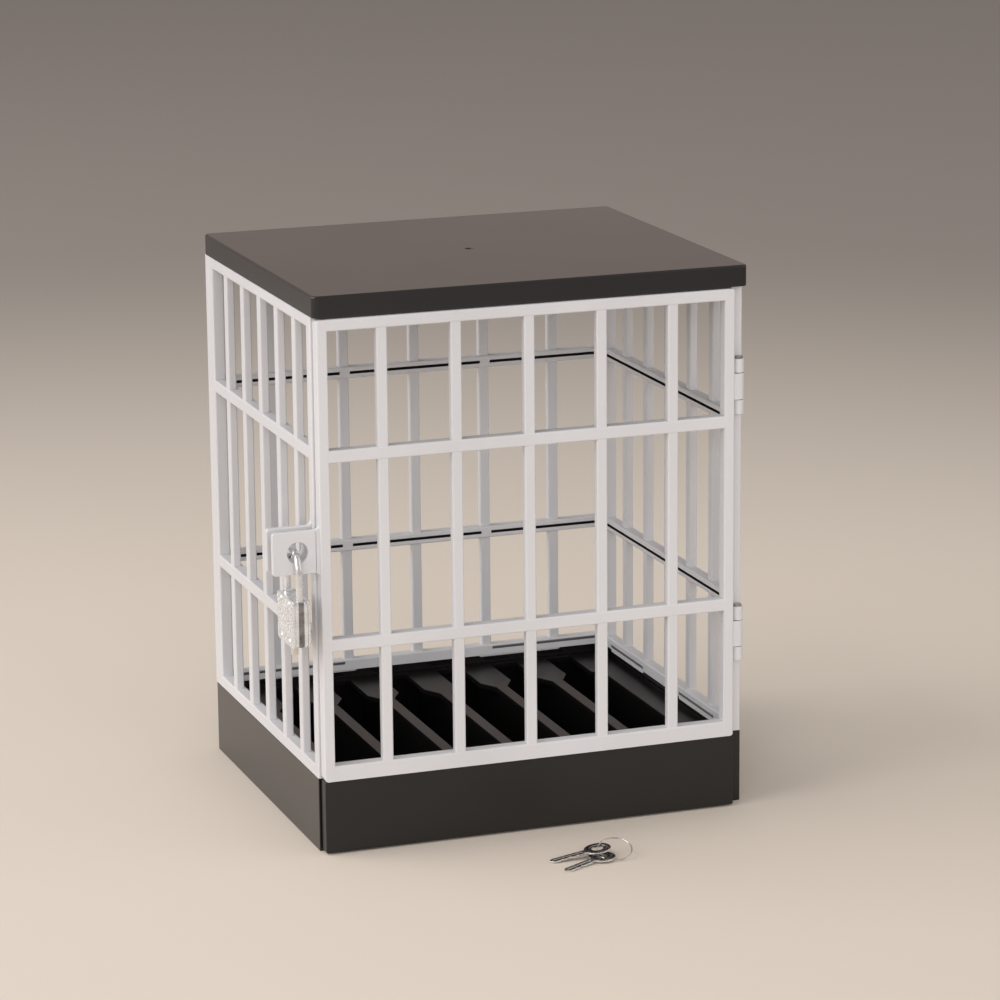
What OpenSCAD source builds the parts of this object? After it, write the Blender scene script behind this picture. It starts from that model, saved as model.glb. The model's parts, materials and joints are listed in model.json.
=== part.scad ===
// Phone jail: a barred cage on a slotted black base, with a hinged door, a hasp and a small padlock.
// Frame: X runs right along the front, Y runs from the door to the back, Z is up, all in millimetres.
// The origin is the centre of the base tray's underside.

/* [Cage] */
// Width of the base, back panel and side panels
cage_w = 177; // [165:1:200]
// Depth of the base tray, from its front edge to its back face
cage_d = 145.5; // [135:0.5:165]
// Overall height, from the table to the top of the lid
cage_h = 220; // [210:1:250]
// Thickness of the fixed barred panels
panel_t = 5; // [4.4:0.1:6]
// Width of the posts at the ends of a fixed panel
post_w = 5; // [4:0.1:7]
// Height of the bottom rail of a fixed panel
bottom_rail_h = 4.5; // [4.2:0.1:8]
// Height of the top rail of every barred panel
top_rail_h = 4.6; // [4:0.1:8]
// Height of the two middle rails
mid_rail_h = 5; // [4:0.1:8]
// Height of the lower middle rail's centre above the base
lower_rail_up = 54.4; // [45:0.1:65]
// Depth of the upper middle rail's centre below the lid
upper_rail_down = 53.5; // [45:0.1:65]
// How far a rail lies back from the faces of its posts
rail_step = 0.06; // [0.04:0.02:0.2]
// Rounding along the edges of posts, rails and bars
edge_r = 0.7; // [0.3:0.1:1]

/* [Bars] */
// Number of bars in a panel
bar_count = 5; // [3:1:7]
// Width of a bar
bar_w = 4.4; // [3:0.1:6]
// Thickness of a bar
bar_t = 3.4; // [2.5:0.1:3.8]
// How far a bar lies back from the outer face of its posts
bar_step = 0.3; // [0.2:0.05:0.5]
// Distance from a side panel's post to the middle of its first bar
side_bar_in = 18.2; // [12:0.1:22]
// Distance from a door stile or back post to the middle of the first bar
wide_bar_in = 21.6; // [15:0.1:25]
// Height of the cored slits along the inner faces of the rails
slit_h = 1.2; // [0.8:0.1:1.4]
// Depth of the cored slits
slit_deep = 2.6; // [1:0.1:3]
// Height of the slits in a side panel's bottom rail, above the base
side_slit_up = 1.4; // [1.2:0.1:2]
// Height of the slits in the back panel's bottom rail, above the base
back_slit_up = 3.1; // [2:0.1:3.2]

/* [Base] */
// Height of the base walls
base_h = 29.5; // [26:0.5:36]
// Thickness of the base walls
base_wall = 2.4; // [1.8:0.1:2.6]
// Thickness of the base floor
base_floor = 2.4; // [1.6:0.1:4]
// Width of the return lips at the base's front corners
lip_w = 8; // [7:0.5:12]
// Rounding of the base's back corners
base_corner = 2; // [1:0.1:2.3]

/* [Phone rack] */
// Depth of the rack's deck below the top of the base walls
deck_down = 4; // [3.6:0.1:7]
// Thickness of the rack's deck
deck_t = 2.4; // [1.6:0.1:4]
// Number of phone slots
slot_count = 6; // [4:1:6]
// Spacing of the phone slots
slot_pitch = 25; // [23:0.1:26.5]
// Width of a slot in front, where a phone goes in
slot_front_w = 20.2; // [17:0.1:21]
// Width of a slot at the back, where a phone is held upright
slot_back_w = 11.3; // [8:0.1:14]
// Length of the narrow back stretch of a slot
slot_back_l = 26; // [18:0.5:36]
// Length of the sloped shoulders between the two widths
slot_shoulder_l = 8; // [4:0.5:12]
// Margin of deck behind the slots
slot_back_margin = 3; // [2:0.5:8]
// Thickness of the webs under the divider strips
web_t = 1.6; // [1.2:0.1:2.2]
// Clearance between the rack and the base walls
rack_gap = 0.3; // [0.2:0.05:0.6]

/* [Lid] */
// Height of the lid
lid_h = 8.5; // [7:0.5:12]
// Thickness of the lid's top plate
lid_top = 2.2; // [1.6:0.1:3]
// Thickness of the lid's skirt
lid_skirt = 2.4; // [1.8:0.1:2.6]
// Overhang of the lid past the side and back panels
lid_over = 0.2; // [0.1:0.1:0.6]
// Overhang of the lid past the front of the base, above the door
lid_front_over = 5.4; // [4.6:0.1:6]
// Radius of the lid's upright corners
lid_corner = 2.6; // [2.5:0.1:4]
// Radius of the lid's top edges
lid_edge = 0.9; // [0.5:0.1:1.5]
// Thickness of the ribs under the lid
lid_rib_t = 1.6; // [1.2:0.1:2.4]
// Depth of the ribs under the lid
lid_rib_h = 3; // [2:0.1:3.5]
// Radius of the moulding gate's dimple on the lid
gate_r = 1.6; // [1:0.1:3]
// Depth of the moulding gate's dimple
gate_deep = 0.5; // [0.4:0.1:0.8]
// Radius of the nub left in the dimple
gate_nub_r = 0.6; // [0.3:0.1:0.8]
// Height of the nub
gate_nub_h = 0.3; // [0.1:0.05:0.35]

/* [Clips] */
// Length of a clip tongue on the edge of a panel
tongue_l = 37; // [24:1:44]
// Reach of a clip tongue into the lid
tongue_h = 2.8; // [2:0.1:3.2]
// Reach of a clip tongue into the base
foot_tongue_h = 1; // [0.8:0.1:2]
// Thickness of the back panel's tongues in the base
back_tongue_t = 1; // [0.8:0.1:2]
// Clearance round a clip tongue
tongue_gap = 0.2; // [0.1:0.05:0.3]
// Distance of a side panel's tongues from the middle of the base
side_tongue_off = 38.4; // [34:0.2:42]
// Distance of a tongue's middle from the middle of the back panel
back_tongue_off = 46; // [40:1:54]
// Radius of the pegs that key the side panels to the back panel
peg_r = 1.2; // [0.8:0.1:1.5]
// Length of the pegs
peg_l = 3; // [2:0.1:3.4]
// Clearance round a peg
peg_gap = 0.05; // [0.02:0.01:0.1]

/* [Door] */
// Thickness of the door and its kick plate
door_t = 5.4; // [4.6:0.1:5.8]
// Gap between the closed door and the cage
door_gap = 0.7; // [0.4:0.1:1]
// How far the door's free edge stays inside the cage's left face
door_left_in = 0.8; // [0.5:0.1:3]
// How far the door's hinge edge stays inside the cage's right face
door_right_in = 5.5; // [5.4:0.1:7]
// Gap between the door and the lid above it
door_top_gap = 0.5; // [0.3:0.1:1.5]
// Height of the door's bottom rail
door_rail_h = 6.2; // [5:0.1:9]
// Width of the door's stiles
stile_w = 4.3; // [3.5:0.1:7]
// Rounding of the door's corners
door_corner = 1.6; // [1:0.1:2]
// Rounding of the kick plate's corners
kick_corner = 0.8; // [0.5:0.1:2]
// Gap between the kick plate and the table
kick_gap = 0.7; // [0.5:0.1:3]
// Thickness of the kick plate's front skin and its rim
kick_skin = 1.8; // [1.2:0.1:2]
// Number of upright ribs behind the kick plate
kick_ribs = 5; // [2:1:8]
// Width of a door tongue that plugs into the kick plate
door_tongue_w = 24; // [12:1:30]
// Length of a door tongue
door_tongue_h = 6; // [3:0.5:10]
// Thickness of a door tongue
door_tongue_t = 1.4; // [1:0.1:1.6]
// Clearance round a door tongue in the kick plate
door_tongue_run = 0.1; // [0.05:0.01:0.15]

/* [Hinges] */
// Radius of the hinge barrels
barrel_r = 2.2; // [2:0.05:2.4]
// Gap between a barrel and the edge that swings past it
barrel_gap = 0.3; // [0.2:0.05:0.4]
// Radius of the hinge pins
pin_r = 1; // [0.7:0.05:1.2]
// Running clearance of the door's knuckle on the pin
pin_run = 0.06; // [0.03:0.01:0.1]
// Clearance of the fixed ears on the pin
pin_seat = 0.02; // [0.01:0.01:0.05]
// Height of the door's knuckle
knuckle_h = 10.4; // [8:0.1:14]
// Height of each fixed ear
ear_h = 5.5; // [4:0.1:8]
// Gap between the knuckle and an ear
knuckle_gap = 0.3; // [0.2:0.05:0.5]
// Height of the lower hinge's middle above the base
lower_hinge_up = 41.9; // [36:0.1:46]
// Depth of the upper hinge's middle below the lid
upper_hinge_down = 39.7; // [36:0.1:46]
// Radius of a hinge pin's head
pin_head_r = 1.7; // [1.5:0.1:2.1]
// Height of a hinge pin's head
pin_head_h = 0.8; // [0.5:0.1:1.2]

/* [Hasp] */
// Height of the hasp's middle above the base
hasp_up = 92.1; // [85:0.1:98]
// Reach of the hasp tabs past the cage's left face
hasp_reach = 18; // [16:0.1:22]
// Height of the hasp tabs
hasp_h = 17; // [14:0.1:20]
// Thickness of the hasp tabs
hasp_t = 2.6; // [2:0.1:2.8]
// Setback of the door's tab behind the face of its stile
door_tab_back = 0.5; // [0.3:0.1:0.8]
// Setback of the fixed tab behind the front of its post
hasp_back = 2.35; // [1.8:0.05:2.4]
// Radius of the holes for the padlock
hasp_hole_r = 4.2; // [3.9:0.1:4.6]
// Distance of the holes from the cage's left face
hasp_hole_out = 7.9; // [7.6:0.1:9.6]
// Rounding of the tabs' free corners
hasp_corner = 1.2; // [0.6:0.1:2]
// Fillet between a tab and its upright
hasp_fillet = 2; // [1:0.1:3]

/* [Padlock] */
// Width of the padlock's case
lock_w = 21.5; // [21:0.1:24]
// Height of the padlock's case
lock_h = 19; // [18.6:0.1:24]
// Thickness of the padlock's core between its face plates
core_t = 5; // [4.6:0.1:5.6]
// Thickness of a face plate
plate_t = 0.9; // [0.5:0.1:1]
// How far the core stays inside the rim of the plates
core_in = 0.3; // [0.2:0.05:0.5]
// Rounding of the case's corners
lock_corner = 1.6; // [1:0.1:2]
// Width of the groove down the narrow sides of the core
side_groove_w = 2.2; // [1:0.1:2.6]
// Depth of the groove
side_groove_deep = 0.6; // [0.3:0.1:0.6]
// Radius of the shackle's rod
rod_r = 1.4; // [1.2:0.05:1.45]
// Thinning of the rod where it is bent
bend_thin = 0.03; // [0.02:0.01:0.06]
// Running clearance of the rod in its bores
rod_run = 0.06; // [0.03:0.01:0.1]
// Spacing of the shackle's legs, middle to middle
leg_pitch = 16; // [15.6:0.1:16.4]
// Straight length of a leg above the case
leg_free = 9.5; // [7:0.1:13]
// Depth of the short leg in the case
short_leg_in = 6; // [5.4:0.1:6.4]
// Depth of the long leg in the case
long_leg_in = 14.3; // [13:0.1:14.6]
// How far the padlock hangs to the left of the middle of the holes
lock_side = 0.7; // [0:0.1:1]
// Clearance of the rod above the bottom of the hasp's holes
hang_gap = 0.15; // [0.1:0.05:0.3]
// Radius of the rivets
rivet_r = 0.7; // [0.5:0.05:0.8]
// Radius of the rivet heads
rivet_head_r = 1.2; // [0.9:0.05:1.4]
// Height of the domed rivet heads
rivet_head_h = 0.5; // [0.3:0.05:0.6]
// Distance of the rivets from the middle of the case
rivet_off = 5.2; // [4.8:0.1:5.4]
// Distance of the rivets from the top and the bottom of the case
rivet_in = 2.1; // [1.8:0.1:2.3]
// Clearance round a rivet
rivet_gap = 0.03; // [0.02:0.01:0.06]

/* [Lock works] */
// Radius of the key plug
plug_r = 1.45; // [1.2:0.05:1.6]
// Running clearance of the plug in its bore
plug_run = 0.05; // [0.03:0.01:0.1]
// Reach of the plug below the case
plug_out = 3.2; // [1.5:0.1:5]
// Width of the keyway
keyway_w = 0.6; // [0.3:0.05:0.8]
// Length of the keyway across the plug
keyway_l = 1.9; // [1:0.1:2.1]
// Radius of the plug's cam pin
cam_r = 0.4; // [0.3:0.05:0.5]
// Offset of the cam pin from the plug's axis, which is the latch's travel
cam_off = 0.7; // [0.6:0.05:0.8]
// Clearance of the cam pin in the latch
cam_gap = 0.2; // [0.18:0.01:0.3]
// Width of the latch across the case
latch_w = 2.6; // [2.2:0.1:2.8]
// Height of the latch
latch_h = 1.7; // [1.2:0.1:2]
// Length of the latch behind the plug's axis
latch_tail = 2.4; // [1.8:0.1:2.8]
// Clearance round the latch in its channel
latch_gap = 0.1; // [0.05:0.01:0.15]
// Depth of the latch's channel below the top of the case
latch_down = 5.2; // [5:0.1:5.4]
// Depth of the notch that the latch enters in the short leg
notch_deep = 0.9; // [0.8:0.05:1]
// Radius of the latch spring
latch_spring_r = 0.8; // [0.6:0.05:0.9]
// Wire thickness of the two springs
spring_wire = 0.3; // [0.2:0.05:0.4]
// Length of the shackle spring under the long leg
shackle_spring_l = 3; // [2:0.1:3.2]

/* [Keys] */
// Radius of a key's bow
bow_r = 5.3; // [4.8:0.1:6]
// Radius of the hole in the bow
bow_hole_r = 3.3; // [3.2:0.05:3.5]
// Distance of the hole from the middle of the bow
bow_hole_off = 0.2; // [0.1:0.1:0.3]
// Length of a key's blade past the middle of the bow
blade_l = 20.5; // [18:0.5:26]
// Width of a blade
blade_w = 3.4; // [2.8:0.1:4]
// Thickness of a key
key_t = 0.7; // [0.6:0.05:0.8]
// Pitch of the cuts along a blade
cut_pitch = 3.2; // [2.6:0.1:3.6]
// Depth of the deepest cut on the near edge
cut_deep = 0.8; // [0.4:0.1:1]
// Depth of the deepest cut on the far edge
far_cut_deep = 0.4; // [0.2:0.1:0.6]
// Share of those depths which each cut has, from the tip on
cut_shares = [0.6, 1, 0.5, 0.9]; // [0.2:0.1:1]
// Radius of the key ring, to the middle of its wire
ring_r = 6.7; // [6:0.1:8]
// Radius of the key ring's wire
ring_wire_r = 0.3; // [0.25:0.05:0.35]
// Tilt of the key ring, which leans up on the keys
ring_tilt = 22; // [20:1:26]
// Distance of the key ring's middle to the right of the cage's middle
ring_x = 16; // [-20:0.5:40]
// Distance of the key ring's middle in front of the base
ring_front = 47.1; // [30:0.1:70]
// Turn of the key ring on the table
ring_turn = 20; // [10:1:30]
// Angle round the ring's wire where the upper key hangs
key_1_place = 3; // [0:1:6]
// Angle round the ring's wire where the lower key hangs
key_2_place = -41; // [-44:1:-38]
// Turn of the upper key on the table
key_1_turn = 3; // [0:1:8]
// Turn of the lower key on the table
key_2_turn = 25; // [20:1:32]

/* [Hidden] */
$fn = 48;
// Overlap that carries a cut past a face
cut = 1;

// Levels and faces of the cage
cage_left = -cage_w / 2;
cage_right = cage_w / 2;
cage_front = -cage_d / 2;
cage_back = cage_d / 2;
panel_z0 = base_h;
panel_z1 = cage_h - lid_h;
lower_rail_z = panel_z0 + lower_rail_up;
upper_rail_z = panel_z1 - upper_rail_down;
side_l = cage_d - panel_t;
peg_heights = [lower_rail_z, upper_rail_z];

// Levels and outline of the rack
deck_z = base_h - deck_down;
rack_w = cage_w - 2 * (base_wall + rack_gap);
rack_y0 = cage_front + base_wall + rack_gap;
rack_y1 = cage_back - base_wall - rack_gap;
slot_y1 = rack_y1 - slot_back_margin;
slot_step_y = slot_y1 - slot_back_l;

// Faces and levels of the door
door_x0 = cage_left + door_left_in;
door_x1 = cage_right - door_right_in;
door_w = door_x1 - door_x0;
door_y1 = cage_front - door_gap;
door_y0 = door_y1 - door_t;
door_z1 = panel_z1 - door_top_gap;
door_tongue_off = door_w / 4;

// Hinge axis, which lies beside the door's edge at the middle of its thickness
hinge_x = door_x1 + barrel_gap + barrel_r;
hinge_y = (door_y0 + door_y1) / 2;
lower_hinge_z = panel_z0 + lower_hinge_up;
upper_hinge_z = panel_z1 - upper_hinge_down;
hinge_h = knuckle_h + 2 * (ear_h + knuckle_gap);

// Hasp and padlock: the rod rests in the two holes, on the outer edges of the tabs
hasp_z = panel_z0 + hasp_up;
hasp_x = cage_left - hasp_hole_out;
lock_x = hasp_x - lock_side;
door_tab_y0 = door_y0 + door_tab_back;
fixed_tab_y0 = cage_front + hasp_back;
lock_y = (door_tab_y0 + fixed_tab_y0 + hasp_t) / 2;
tab_half_span = (fixed_tab_y0 + hasp_t - door_tab_y0) / 2;
arch_r = leg_pitch / 2;
arch_inner = arch_r - rod_r;
rest_z = hasp_z - sqrt(hasp_hole_r * hasp_hole_r - lock_side * lock_side) + hang_gap;
arch_z = rest_z - sqrt(arch_inner * arch_inner - tab_half_span * tab_half_span);
lock_z1 = arch_z - leg_free;
lock_z0 = lock_z1 - lock_h;
short_leg_y = -arch_r;
long_leg_y = arch_r;
bore_r = rod_r + rod_run;
short_tip_z = lock_z1 - short_leg_in;
long_tip_z = lock_z1 - long_leg_in;

// Latch and plug, measured from the middle of the case
latch_z = lock_z1 - latch_down;
latch_tip_y = short_leg_y + bore_r + latch_gap;
latch_channel_z0 = latch_z - latch_h / 2 - latch_gap;
latch_channel_z1 = latch_z + latch_h / 2 + latch_gap;
channel_end_y = long_leg_y - bore_r - cam_off;
plug_top_z = latch_channel_z0 - latch_gap;
spring_floor_z = long_tip_z - shackle_spring_l - 2 * latch_gap;

// Key ring and keys: each key hangs on the ring at its own angle round the wire
ring_y = cage_front - ring_front;
ring_z = ring_r * sin(ring_tilt) + ring_wire_r;
// Middle of the first cut from the tip, one blade width along
first_cut_x = -blade_l + blade_w;

// Rectangle with round corners, centred, made of true arcs
module round_rect(w, h, r) {
    square([w - 2 * r, h], center = true);
    square([w, h - 2 * r], center = true);
    for (sx = [-1, 1], sy = [-1, 1])
        translate([sx * (w / 2 - r), sy * (h / 2 - r)])
            circle(r);
}

// Upright member of a panel, centred on x, between two faces and two levels
module upright(x, w, y0, y1, z0, z1) {
    translate([x, (y0 + y1) / 2, z0])
        linear_extrude(z1 - z0)
            round_rect(w, y1 - y0, edge_r);
}

// Level member of a panel, from x0 to x1
module rail(x0, x1, z0, h, y0, y1) {
    translate([x0, (y0 + y1) / 2, z0 + h / 2])
        rotate([90, 0, 90])
            linear_extrude(x1 - x0)
                round_rect(y1 - y0, h, edge_r);
}

// Middle of bar i between two uprights
function bar_x(i, span, end_w, first) =
    end_w + first + i * (span - 2 * (end_w + first)) / (bar_count - 1);

// Barred frame in its own frame: X along the panel, outer face at Y = 0, inside towards +Y
module barred_frame(span, t, end_w, first, foot_h, z1) {
    rails = [[panel_z0, foot_h], [lower_rail_z - mid_rail_h / 2, mid_rail_h],
             [upper_rail_z - mid_rail_h / 2, mid_rail_h], [z1 - top_rail_h, top_rail_h]];
    for (x = [end_w / 2, span - end_w / 2])
        upright(x, end_w, 0, t, panel_z0, z1);
    for (level = rails)
        rail(end_w / 2, span - end_w / 2, level[0], level[1], rail_step, t - rail_step);
    translate([end_w / 2, rail_step, panel_z0])
        cube([span - end_w, t - 2 * rail_step, foot_h / 2]);
    for (i = [0 : bar_count - 1])
        upright(bar_x(i, span, end_w, first), bar_w, bar_step, bar_step + bar_t,
                panel_z0 + foot_h / 2, z1 - top_rail_h / 2);
}

// Cored slits in the inner face of a panel of thickness t, at level z, one for each pair of ends
module rail_slits(ends, z, t) {
    for (end = ends)
        translate([end[0], t - rail_step - slit_deep, z - slit_h / 2])
            cube([end[1] - end[0], slit_deep + cut, slit_h]);
}

// Clip tongue of reach h with round ends, standing out of a panel's edge at level z towards dir
module clip_tongue(x, z, dir, h, y0, y1) {
    translate([x, (y0 + y1) / 2, z + dir * h / 2])
        rotate([90, 0, 0])
            linear_extrude(y1 - y0, center = true) {
                square([tongue_l - 2 * h, h], center = true);
                for (side = [-1, 1])
                    translate([side * (tongue_l / 2 - h), 0])
                        intersection() {
                            translate([0, dir * -h / 2])
                                circle(h);
                            square([2 * h, h], center = true);
                        }
            }
}

// Clip tongues along the bottom and the top edge of a fixed panel
module panel_tongues(middle, off, foot_t) {
    foot_y = base_wall + tongue_gap;
    for (side = [-1, 1]) {
        clip_tongue(middle + side * off, panel_z0, -1, foot_tongue_h, foot_y, foot_y + foot_t);
        clip_tongue(middle + side * off, panel_z1, 1, tongue_h, lid_skirt - lid_over + tongue_gap,
                    panel_t - rail_step);
    }
}

// Side panel in its own frame, with the pegs that key it to the back panel
module side_panel(back_at_start) {
    middle = back_at_start ? side_l - cage_d / 2 : cage_d / 2;
    foot_slits = [for (side = [-1, 1])
                      [middle + side * side_tongue_off - tongue_l / 2,
                       middle + side * side_tongue_off + tongue_l / 2]];
    difference() {
        barred_frame(side_l, panel_t, post_w, side_bar_in, bottom_rail_h, panel_z1);
        rail_slits(foot_slits, panel_z0 + side_slit_up, panel_t);
        for (z = [lower_rail_z, upper_rail_z])
            rail_slits([[post_w, side_l - post_w]], z, panel_t);
    }
    panel_tongues(middle, side_tongue_off, panel_t - rail_step - base_wall - tongue_gap);
    for (z = peg_heights)
        translate([back_at_start ? 0 : side_l, panel_t / 2, z])
            rotate([0, back_at_start ? -90 : 90, 0])
                cylinder(h = peg_l, r = peg_r);
}

// Flat hasp tab with its hole and fillets, on an upright whose left face is at root_x
module hasp_tab(root_x, root_deep, y0) {
    tab_w = hasp_reach + root_x - cage_left;
    translate([0, y0 + hasp_t, hasp_z])
        rotate([90, 0, 0])
            linear_extrude(hasp_t)
                difference() {
                    union() {
                        translate([root_x - tab_w / 2, 0])
                            round_rect(tab_w, hasp_h, hasp_corner);
                        translate([root_x - tab_w / 2, -hasp_h / 2])
                            square([tab_w / 2 + root_deep, hasp_h]);
                        for (flip = [0, 1])
                            mirror([0, flip])
                                difference() {
                                    translate([root_x - hasp_fillet, hasp_h / 2 - edge_r])
                                        square([hasp_fillet + root_deep, hasp_fillet + edge_r]);
                                    translate([root_x - hasp_fillet, hasp_h / 2 + hasp_fillet])
                                        circle(hasp_fillet);
                                }
                    }
                    translate([hasp_x, 0])
                        circle(hasp_hole_r);
                }
}

// Black tray: floor and walls, open in front between two return lips, behind the kick plate
module base_tray() {
    color("#2b2829")
        difference() {
            linear_extrude(base_h) {
                translate([0, -base_corner / 2])
                    square([cage_w, cage_d - base_corner], center = true);
                round_rect(cage_w, cage_d, base_corner);
            }
            translate([cage_left + base_wall, cage_front + base_wall, base_floor])
                cube([cage_w - 2 * base_wall, cage_d - 2 * base_wall, base_h]);
            translate([cage_left + lip_w, cage_front - cut, base_floor])
                cube([cage_w - 2 * lip_w, base_wall + 2 * cut, base_h]);
        }
}

// Outline of one phone slot, open to the front, centred on x = 0
module slot_outline() {
    polygon([[-slot_front_w / 2, rack_y0 - cut], [slot_front_w / 2, rack_y0 - cut],
             [slot_front_w / 2, slot_step_y - slot_shoulder_l], [slot_back_w / 2, slot_step_y],
             [slot_back_w / 2, slot_y1], [-slot_back_w / 2, slot_y1],
             [-slot_back_w / 2, slot_step_y], [-slot_front_w / 2, slot_step_y - slot_shoulder_l]]);
}

// Slotted deck on webs that stand on the floor of the tray
module phone_rack() {
    web_h = deck_z - deck_t - base_floor;
    color("#1f1c1d") {
        translate([0, 0, deck_z - deck_t])
            linear_extrude(deck_t)
                difference() {
                    translate([-rack_w / 2, rack_y0])
                        square([rack_w, rack_y1 - rack_y0]);
                    for (i = [0 : slot_count - 1])
                        translate([(i - (slot_count - 1) / 2) * slot_pitch, 0])
                            slot_outline();
                }
        for (i = [0 : slot_count])
            translate([(i - slot_count / 2) * slot_pitch - web_t / 2, rack_y0, base_floor])
                cube([web_t, rack_y1 - rack_y0, web_h]);
        for (x = [-rack_w / 2, rack_w / 2 - web_t])
            translate([x, rack_y0, base_floor])
                cube([web_t, rack_y1 - rack_y0, web_h]);
        translate([-rack_w / 2, rack_y1 - web_t, base_floor])
            cube([rack_w, web_t, web_h]);
    }
}

// Left barred panel, with the fixed tab of the hasp on its front post
module left_panel() {
    color("#d0cdcb") {
        translate([cage_left, cage_front + side_l, 0])
            rotate(-90)
                side_panel(true);
        hasp_tab(cage_left, panel_t / 2, fixed_tab_y0);
    }
}

// Right barred panel, with the fixed ears of both hinges on its front post
module right_panel() {
    color("#d0cdcb") {
        translate([cage_right, cage_front, 0])
            rotate(90)
                side_panel(false);
        for (z = [lower_hinge_z, upper_hinge_z], side = [-1, 1])
            translate([hinge_x, hinge_y, z + side * (hinge_h - ear_h) / 2])
                hinge_leaf(ear_h, cage_front + panel_t / 2 - hinge_y, 90, pin_r + pin_seat);
    }
}

// Hinge barrel with its web, which runs out to a given reach at a given angle
module hinge_leaf(h, reach, angle, bore) {
    difference() {
        union() {
            cylinder(h = h, r = barrel_r, center = true);
            rotate(angle)
                translate([0, -barrel_r, -h / 2])
                    cube([reach, 2 * barrel_r, h]);
        }
        cylinder(h = h + cut, r = bore, center = true);
    }
}

// Back barred panel, full width, with bores for the side panels' pegs
module back_panel() {
    bar_2 = bar_x(1, cage_w, post_w, wide_bar_in);
    end_slits = [[post_w, bar_2 - bar_w / 2], [cage_w - bar_2 + bar_w / 2, cage_w - post_w]];
    middle_slit = [bar_2 + bar_w / 2, cage_w - bar_2 - bar_w / 2];
    color("#d0cdcb")
        translate([cage_right, cage_back, 0])
            rotate(180) {
                difference() {
                    barred_frame(cage_w, panel_t, post_w, wide_bar_in, bottom_rail_h, panel_z1);
                    rail_slits(end_slits, panel_z0 + back_slit_up, panel_t);
                    for (z = [lower_rail_z, upper_rail_z])
                        rail_slits(concat(end_slits, [middle_slit]), z, panel_t);
                    for (x = [panel_t / 2, cage_w - panel_t / 2], z = peg_heights)
                        translate([x, panel_t + cut, z])
                            rotate([90, 0, 0])
                                cylinder(h = peg_l + peg_gap + cut, r = peg_r + peg_gap);
                }
                panel_tongues(cage_w / 2, back_tongue_off, back_tongue_t);
            }
}

// Black lid: a shallow shell with round top edges, ribbed underneath, with a gate mark on top
module lid() {
    lid_x = cage_w / 2 + lid_over;
    lid_y0 = cage_front - lid_front_over;
    lid_y1 = cage_back + lid_over;
    inside = lid_h - lid_top;
    rib_z = cage_h - lid_top - lid_rib_h;
    color("#2b2829") {
        difference() {
            hull()
                for (x = [-lid_x + lid_corner, lid_x - lid_corner],
                     y = [lid_y0 + lid_corner, lid_y1 - lid_corner])
                    translate([x, y, panel_z1])
                        rotate_extrude($fn = 32) {
                            square([lid_corner, lid_h - lid_edge]);
                            square([lid_corner - lid_edge, lid_h]);
                            translate([lid_corner - lid_edge, lid_h - lid_edge])
                                intersection() {
                                    circle(lid_edge, $fn = 32);
                                    square(lid_edge);
                                }
                        }
            translate([-lid_x + lid_skirt, lid_y0 + lid_skirt, panel_z1 - cut])
                cube([2 * (lid_x - lid_skirt), lid_y1 - lid_y0 - 2 * lid_skirt, inside + cut]);
            translate([0, (lid_y0 + lid_y1) / 2, cage_h - gate_deep])
                cylinder(h = gate_deep + cut, r = gate_r);
        }
        translate([0, (lid_y0 + lid_y1) / 2, cage_h - gate_deep - gate_nub_h])
            cylinder(h = 2 * gate_nub_h, r = gate_nub_r);
        for (x = [-cage_w / 4, 0, cage_w / 4])
            translate([x - lid_rib_t / 2, lid_y0 + lid_skirt / 2, rib_z])
                cube([lid_rib_t, lid_y1 - lid_y0 - lid_skirt, lid_rib_h + lid_top / 2]);
        for (y = [-cage_d / 6, cage_d / 6])
            translate([-lid_x + lid_skirt / 2, y - lid_rib_t / 2, rib_z])
                cube([2 * lid_x - lid_skirt, lid_rib_t, lid_rib_h + lid_top / 2]);
    }
}

// Barred door, with its hasp tab, its hinge knuckles and the tongues that carry the kick plate
module door_panel() {
    color("#d0cdcb") {
        intersection() {
            translate([door_x0, door_y0, 0])
                difference() {
                    barred_frame(door_w, door_t, stile_w, wide_bar_in, door_rail_h, door_z1);
                    for (z = [lower_rail_z, upper_rail_z])
                        rail_slits([[stile_w, door_w - stile_w]], z, door_t);
                }
            translate([door_x0 + door_w / 2, door_y1 + cut, (panel_z0 + door_z1) / 2])
                rotate([90, 0, 0])
                    linear_extrude(door_t + 2 * cut)
                        round_rect(door_w, door_z1 - panel_z0, door_corner);
        }
        hasp_tab(door_x0, stile_w / 2, door_tab_y0);
        for (z = [lower_hinge_z, upper_hinge_z])
            translate([hinge_x, hinge_y, z])
                hinge_leaf(knuckle_h, hinge_x - door_x1 + stile_w / 2, 180, pin_r + pin_run);
        for (side = [-1, 1])
            translate([door_x0 + door_w / 2 + side * door_tongue_off - door_tongue_w / 2,
                       hinge_y - door_tongue_t / 2, panel_z0 - door_tongue_h])
                cube([door_tongue_w, door_tongue_t, door_tongue_h + door_rail_h / 2]);
    }
}

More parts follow.
